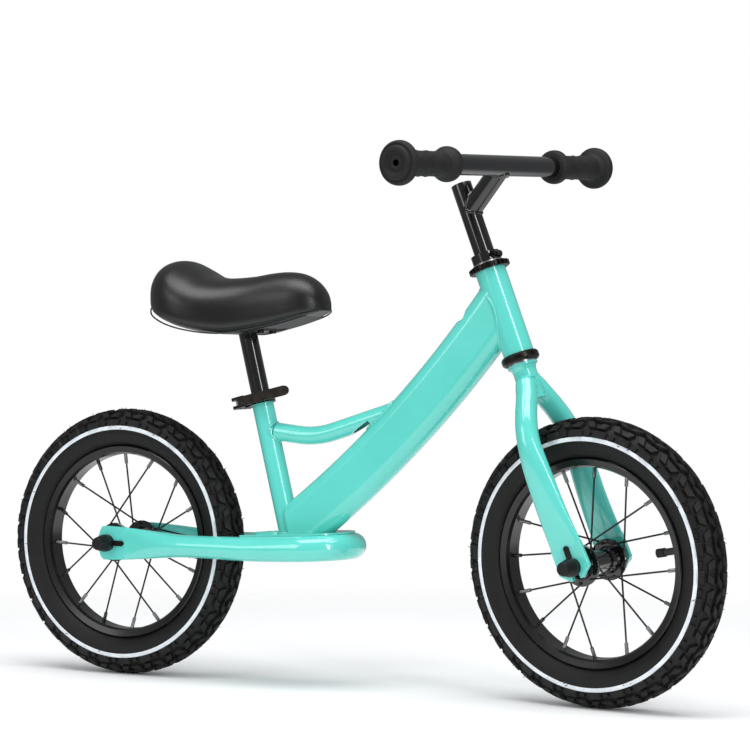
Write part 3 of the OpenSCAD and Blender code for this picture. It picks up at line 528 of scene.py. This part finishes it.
LOOP = [
    (-276, 18.8, 2.4, 4), (-262, 17.9, 3.4, 3.4), (-248, 16.9, 6, 2.8), (-232, 15.7, 9, 2.3),
    (-214, 14.2, 11.4, 2), (-196, 13, 12.4, 2), (-176, 12.6, 12.6, 2), (-150, 12.8, 12.8, 2),
    (-116, 13.4, 13.4, 2), (-92, 13.9, 13.9, 2), (-68, 14.2, 14.2, 2), (-43.5, 14.3, 14.3, 2),
]
STAY, LOOP_X, LOOP_R = 41.5, -43.5, 14.3
PLATE = (-116, 167.8, math.radians(2.9), 2.0)


def under_plate(x):
    px, pz, slope, t = PLATE
    return pz - t / math.cos(slope) + (x - px) * math.tan(slope)


def loop_z(x, half_h):
    """Height of the loop's centre: level behind, under the plate in front, eased between."""
    level, plate = 152.5, under_plate(x) - half_h
    u = min(max((x - PLATE[0] + 16) / 32, 0), 1)
    return level + (min(plate, level + 30) - level) * (u * u * (3 - 2 * u)) if x < PLATE[0] + 16 \
        else plate


def rear_loop():
    rings = []
    side = spline(LOOP, 5)

    def ring(x, y, turn, h, w, n):
        across = Vector((math.sin(turn), -math.cos(turn), 0))
        return ring_at((x, y, loop_z(x, h)), across, Vector((0, 0, 1)), oval(w, h, n))
    for x, h, w, n in side[:-1]:
        rings.append(ring(x, -STAY, 0, h, w, n))
    for i in range(37):
        a = math.pi * i / 36
        rings.append(ring(LOOP_X + STAY * math.sin(a), -STAY * math.cos(a), a, LOOP_R, LOOP_R, 2))
    for x, h, w, n in side[-2::-1]:
        rings.append(ring(x, STAY, math.pi, h, w, n))
    parts = [loft(rings)]
    for s in (-1, 1):
        outline = [(-304, 146), (-304, 160), (-302, 166), (-299, 171), (-294, 171.8),
                   (-268, 171), (-268, 134.4), (-285, 133.4), (-297, 133.4), (-301, 137)]
        parts.append(slab(outline, s * STAY - 2.5, s * STAY + 2.5))
    obj = piece("rear_loop_tube", *add(parts), WORLD, MINT, "frame", "mint_paint", 40)
    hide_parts("rear_loop")


rear_loop()


def brace():
    """Bent round tube from the seat tube to the main tube."""
    bend = Vector((-43.5, 0, 276.2))
    back, front, r = math.radians(-6.5), math.radians(17.5), 110
    reach = r * math.tan((front - back) / 2)
    path = []
    for d in (50, 38, reach + 3):
        path.append(bend - Vector((math.cos(back), 0, math.sin(back))) * d)
    centre = bend - Vector((math.cos(back), 0, math.sin(back))) * reach \
        + Vector((-math.sin(back), 0, math.cos(back))) * r
    for i in range(13):
        a = back + (front - back) * i / 12
        path.append(centre + Vector((math.sin(a), 0, -math.cos(a))) * r)
    for d in (reach + 3, 45, 111):
        path.append(bend + Vector((math.cos(front), 0, math.sin(front))) * d)
    return path


def carve(obj, *cutters):
    """Cuts helper shapes, given as (verts, faces) in millimetres, out of a piece."""
    helpers = []
    for k, (verts, faces) in enumerate(cutters):
        mesh = bpy.data.meshes.new(f"cutter_{k}")
        mesh.from_pydata([Vector(v) * MM for v in verts], [], faces)
        bm = bmesh.new()
        bm.from_mesh(mesh)
        bmesh.ops.recalc_face_normals(bm, faces=bm.faces)
        bm.to_mesh(mesh)
        bm.free()
        helper = bpy.data.objects.new(f"cutter_{k}", mesh)
        bpy.context.scene.collection.objects.link(helper)
        mod = obj.modifiers.new("cut", "BOOLEAN")
        mod.operation, mod.solver, mod.object = "DIFFERENCE", "EXACT", helper
        helpers.append(helper)
    deps = bpy.context.evaluated_depsgraph_get()
    mesh = bpy.data.meshes.new_from_object(obj.evaluated_get(deps))
    obj.modifiers.clear()
    obj.data = mesh
    for p in mesh.polygons:
        p.use_smooth = True
    mesh.set_sharp_from_angle(angle=math.radians(35))
    for helper in helpers:
        bpy.data.objects.remove(helper)


def brace_tube():
    path = brace()
    obj = piece("frame_brace_tube", *sweep(path, 10.0, 48), WORLD, MINT, "frame",
                "mint_paint", 50)
    bore = sweep([path[0] * 2 - path[1]] + path + [path[-1] * 2 - path[-2]], 8.5, 48)
    tilt = Matrix.Translation((13, 0, 283)) @ Matrix.Rotation(math.radians(-33), 4, "Y")
    corners = [(x, y, z) for x in (-18, 18) for y in (-15, 15) for z in (-4.5, 4.5)]
    relief = ([tilt @ Vector(c) for c in corners],
              [(0, 1, 3, 2), (4, 6, 7, 5), (0, 4, 5, 1), (2, 3, 7, 6), (0, 2, 6, 4), (1, 5, 7, 3)])
    carve(obj, bore, relief)
    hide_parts("frame_brace")


brace_tube()


# ---------------------------------------------------------------- weld beads

def tree_of(*names):
    bm = bmesh.new()
    for name in names:
        bm.from_mesh(frame["nodes"][name].data)
    tree = BVHTree.FromBMesh(bm)
    bm.free()
    return tree


def weld(name, body, target, place, origin, direction, shape, radius=1.7):
    """Rippled bead where a tube's outline, sent along its direction, meets another tube."""
    tree = tree_of(*target)
    d = (place.to_3x3() @ Vector(direction)).normalized()
    side = (place.to_3x3() @ Vector((0, 1, 0))).normalized()
    side = (side - d * side.dot(d)).normalized()
    up = d.cross(side)
    start = place @ (Vector(origin) * MM)
    path = []
    for p, q in shape:
        at = start + side * q * MM + up * p * MM
        hit = tree.ray_cast(at, d)[0]
        if hit is not None:
            path.append(hit / MM)
    if len(path) < 12:
        return None
    ripple = [radius * (1 + 0.16 * math.sin(i * 2.4)) for i in range(len(path))]
    verts, faces = sweep(path, ripple, 8, closed=True)
    return piece(name, verts, faces, WORLD, MINT if radius < 1.9 else BLACK, body,
                 "mint_paint" if radius < 1.9 else "black_paint", 60)


def tangent(deg):
    """Place and heading on the main tube's centre line at an angle of its arc."""
    a = math.radians(deg)
    at = Vector((-802.5 + 1232 * math.sin(a), 0, 1162.4 - 1232 * math.cos(a)))
    return at, Vector((math.cos(a), 0, math.sin(a)))


at, heading = tangent(50)
weld("head_tube_weld", "frame", ["head_tube"], WORLD, at, heading, oval(30, 16.2, 2.4, 90))
at, heading = tangent(36)
weld("main_tube_foot_weld", "frame", ["footrest_plate"], WORLD, at, -heading,
     oval(30, 16.2, 2.4, 90))
weld("seat_tube_foot_weld", "frame", ["footrest_plate"], SEAT, (0, 0, 260), (0, 0, -1),
     oval(12.2, 12.2, 2, 60))
weld("brace_back_weld", "frame", ["seat_tube"], WORLD, (-60, 0, 278.1),
     (-math.cos(math.radians(-6.5)), 0, -math.sin(math.radians(-6.5))), oval(10, 10, 2, 48))
weld("brace_front_weld", "frame", ["main_tube"], WORLD, (-20, 0, 283.6),
     (math.cos(math.radians(17.5)), 0, math.sin(math.radians(17.5))), oval(10, 10, 2, 48))
weld("riser_foot_weld", "handlebar_stem", ["stem_quill"], STEER, (30, 0, 574.5),
     (-56, 0, -29), oval(10.8, 10.8, 2, 48), 1.95)
weld("riser_top_weld", "handlebar_stem", ["handlebar"], STEER, (30, 0, 574.5),
     (56, 0, 29), oval(10.8, 10.8, 2, 48), 1.95)
for side, word in ((-1, "right"), (1, "left")):
    weld(f"crown_weld_{word}", "fork", ["fork_steerer"], STEER, (2.2, side * 17, 350),
         (-0.6, -side * 14, 13), oval(11, 11, 2, 48), 1.2)


# ---------------------------------------------------------------- grips

def leaf(u, v):
    """Height of the embossed leaf marks at u round the grip and v along it, both in millimetres."""
    pitch_u, pitch_v = 10.5, 9.5
    row = math.floor(v / pitch_v)
    uu = (u / pitch_u + 0.5 * (row % 2)) % 1 - 0.5
    vv = (v / pitch_v) % 1 - 0.5
    tilt = 0.7 if row % 2 else -0.7
    a = uu * math.cos(tilt) + vv * math.sin(tilt)
    b = -uu * math.sin(tilt) + vv * math.cos(tilt)
    d = 1 - (a / 0.40) ** 2 - (b / 0.17) ** 2
    return min(max(d * 1.6, 0), 1)


def grip(name, node_name, side):
    outer, length = 195.5, 99
    start = outer - length
    profile = []
    for t, r in spline([(0, 13), (1, 17), (4, 18.3), (9, 18.4), (13, 16.2), (16, 13.9),
                        (20, 13.3), (40, 12.9), (60, 13.1), (78, 13.3), (83, 15), (86, 20.5),
                        (88, 22.6), (91, 22.9), (94, 22.2), (95.6, 20.2), (95.2, 18.2),
                        (97.6, 17.2), (98.9, 15.6), (98.8, 12.6), (96.9, 11.4), (96.2, 9),
                        (96.9, 6), (96.0, 3.4)], 5):
        profile.append((t, r))
    count = 120
    rings = []
    for t, r in profile:
        ring = []
        for k in range(count):
            a = 2 * math.pi * k / count
            rise = 0.8 * leaf(a * 13.3, t) if 19 < t < 80 else 0
            ring.append(((r + rise) * math.cos(a), side * (start + t), (r + rise) * math.sin(a)))
        rings.append(ring)
    rings.append([(11.2 * math.cos(2 * math.pi * k / count), side * (start + 95),
                   11.2 * math.sin(2 * math.pi * k / count)) for k in range(count)])
    rings.append([(11.2 * math.cos(2 * math.pi * k / count), side * start,
                   11.2 * math.sin(2 * math.pi * k / count)) for k in range(count)])
    verts, faces = loft(rings, closed=True)
    obj = piece(name, verts, faces, BAR, GRIP, "handlebar_stem", "grip_rubber", 50)
    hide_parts(node_name)
    return obj


grip("grip_left_sleeve", "grip_left", 1)
grip("grip_right_sleeve", "grip_right", -1)


# ---------------------------------------------------------------- saddle

SADDLE_ROWS = [
    (-245, 16, 445, 430), (-242, 30, 455, 421), (-236, 43, 465, 415), (-226, 54.5, 472, 409),
    (-211, 62, 473.5, 402.5), (-194, 64.5, 466, 397), (-176, 62, 457, 393), (-158, 56, 453.5, 390.5),
    (-140, 49, 453.5, 390), (-120, 42, 455, 392.5), (-100, 37, 458, 396.5), (-80, 33.5, 459.5, 401),
    (-62, 31, 457.5, 406), (-48, 27, 451, 410), (-38, 20, 441, 413.5), (-32, 11, 428, 416),
]


def saddle():
    """Crowned cover pulled down round the foam, turned in at its lower edge."""
    rows = spline(SADDLE_ROWS, 5)
    rings, edge_l, edge_r = [], [], []
    for x, half, top, bottom in rows:
        ring = []
        for i in range(64):
            a = 2 * math.pi * i / 64
            c, s = math.cos(a), math.sin(a)
            side = bottom + (top - bottom) * 0.4
            if s > 0:
                p = (x, -half * power(c, 0.92), side + (top - side) * s)
            else:
                p = (x, -half * power(c, 0.38), side + (side - bottom) * power(s, 0.45))
            ring.append(p)
        rings.append(ring)
        edge_l.append((x, half * 0.97, bottom + 0.9))
        edge_r.append((x, -half * 0.97, bottom + 0.9))
    verts, faces = loft(rings)
    obj = piece("saddle_cover", verts, faces, WORLD, SADDLE, "saddle_and_post",
                "saddle_cover", 60)
    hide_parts("saddle_pad")
    path = edge_l + edge_r[::-1]
    rim = piece("saddle_edge_piping", *sweep(path, 0.9, 8, closed=True), WORLD, SADDLE,
                "saddle_and_post", "saddle_cover", 60)
    return obj, rim


saddle()


# ---------------------------------------------------------------- light, floor, camera

def camera():
    target = Vector((0.02923, 0, 0.3459))
    az, el, dist, roll = math.radians(28.37), math.radians(0.19), 2.74307, math.radians(0.40)
    at = target + dist * Vector((math.sin(az) * math.cos(el), -math.cos(az) * math.cos(el),
                                 math.sin(el)))
    look = (target - at).normalized()
    right = look.cross(Vector((0, 0, 1))).normalized()
    up = right.cross(look)
    r2 = right * math.cos(roll) + up * math.sin(roll)
    u2 = -right * math.sin(roll) + up * math.cos(roll)
    data = bpy.data.cameras.new("camera")
    data.lens = 120.57
    data.sensor_width = 36
    cam = bpy.data.objects.new("camera", data)
    cam.matrix_world = basis(at, r2, u2, -look)
    bpy.context.scene.collection.objects.link(cam)
    bpy.context.scene.camera = cam
    return at, look, right


def softbox(name, at, aim, size, watts, tone=(1, 1, 1)):
    data = bpy.data.lights.new(name, "AREA")
    data.shape = "RECTANGLE"
    data.size, data.size_y = size
    data.energy = watts
    data.color = tone
    light = bpy.data.objects.new(name, data)
    light.location = at
    light.rotation_euler = (Vector(aim) - Vector(at)).to_track_quat("-Z", "Y").to_euler()
    light.visible_camera = False
    bpy.context.scene.collection.objects.link(light)


def world():
    w = bpy.data.worlds.new("studio")
    bpy.context.scene.world = w
    w.use_nodes = True
    tree = w.node_tree
    tree.nodes.clear()
    out = node(tree, "ShaderNodeOutputWorld")
    seen = node(tree, "ShaderNodeBackground", Color=(1, 1, 1, 1), Strength=1.0)
    lit = node(tree, "ShaderNodeBackground", Color=(0.95, 0.97, 1, 1), Strength=0.5)
    dim = node(tree, "ShaderNodeBackground", Color=(0.95, 0.97, 1, 1), Strength=0.26)
    gloss = node(tree, "ShaderNodeMixShader")
    mix = node(tree, "ShaderNodeMixShader")
    rays = node(tree, "ShaderNodeLightPath")
    tree.links.new(rays.outputs["Is Glossy Ray"], gloss.inputs["Fac"])
    tree.links.new(lit.outputs[0], gloss.inputs[1])
    tree.links.new(dim.outputs[0], gloss.inputs[2])
    tree.links.new(rays.outputs["Is Camera Ray"], mix.inputs["Fac"])
    tree.links.new(gloss.outputs[0], mix.inputs[1])
    tree.links.new(seen.outputs[0], mix.inputs[2])
    tree.links.new(mix.outputs[0], out.inputs["Surface"])


def floor():
    """Pale round floor that fades into the white surroundings."""
    bm = bmesh.new()
    bmesh.ops.create_circle(bm, cap_ends=True, segments=96, radius=2.2)
    mesh = bpy.data.meshes.new("studio_floor")
    bm.to_mesh(mesh)
    bm.free()
    mat = surface("pale_floor", (0.93, 0.93, 0.93, 1), (0.95, 0.95, 0.95, 1), (0.6, 0.7), 2,
                  Specular_IOR_Level=0.2)
    tree = mat.node_tree
    ball = node(tree, "ShaderNodeTexGradient")
    ball.gradient_type = "SPHERICAL"
    where = node(tree, "ShaderNodeTexCoord")
    size = node(tree, "ShaderNodeMapping")
    size.inputs["Scale"].default_value = (0.5, 0.5, 0.5)
    tree.links.new(where.outputs["Object"], size.inputs["Vector"])
    tree.links.new(size.outputs["Vector"], ball.inputs["Vector"])
    fade = node(tree, "ShaderNodeMapRange")
    fade.inputs["From Min"].default_value = 0.3
    fade.inputs["From Max"].default_value = 0.68
    fade.interpolation_type = "SMOOTHSTEP"
    tree.links.new(ball.outputs["Fac"], fade.inputs["Value"])
    clear = node(tree, "ShaderNodeBsdfTransparent")
    mix = node(tree, "ShaderNodeMixShader")
    tree.links.new(fade.outputs["Result"], mix.inputs["Fac"])
    tree.links.new(clear.outputs[0], mix.inputs[1])
    tree.links.new(tree.nodes["Principled BSDF"].outputs[0], mix.inputs[2])
    tree.links.new(mix.outputs[0], tree.nodes["Material Output"].inputs["Surface"])
    mesh.materials.append(mat)
    obj = bpy.data.objects.new("studio_floor", mesh)
    bpy.context.scene.collection.objects.link(obj)


at, look, right = camera()
centre = Vector((0.03, 0, 0.3))
floor()
world()
softbox("overhead", centre + Vector((0, 0, 2.6)) - look * 0.6, centre, (3.2, 1.6), 75)
softbox("key_strip", centre - look * 2.4 + right * 1.35 + Vector((0, 0, 0.7)), centre,
        (0.35, 2.2), 26)
softbox("left_fill", centre - look * 1.6 - right * 2.4 + Vector((0, 0, 1.1)), centre,
        (1.2, 1.6), 18)
bpy.context.scene.view_settings.view_transform = "Standard"
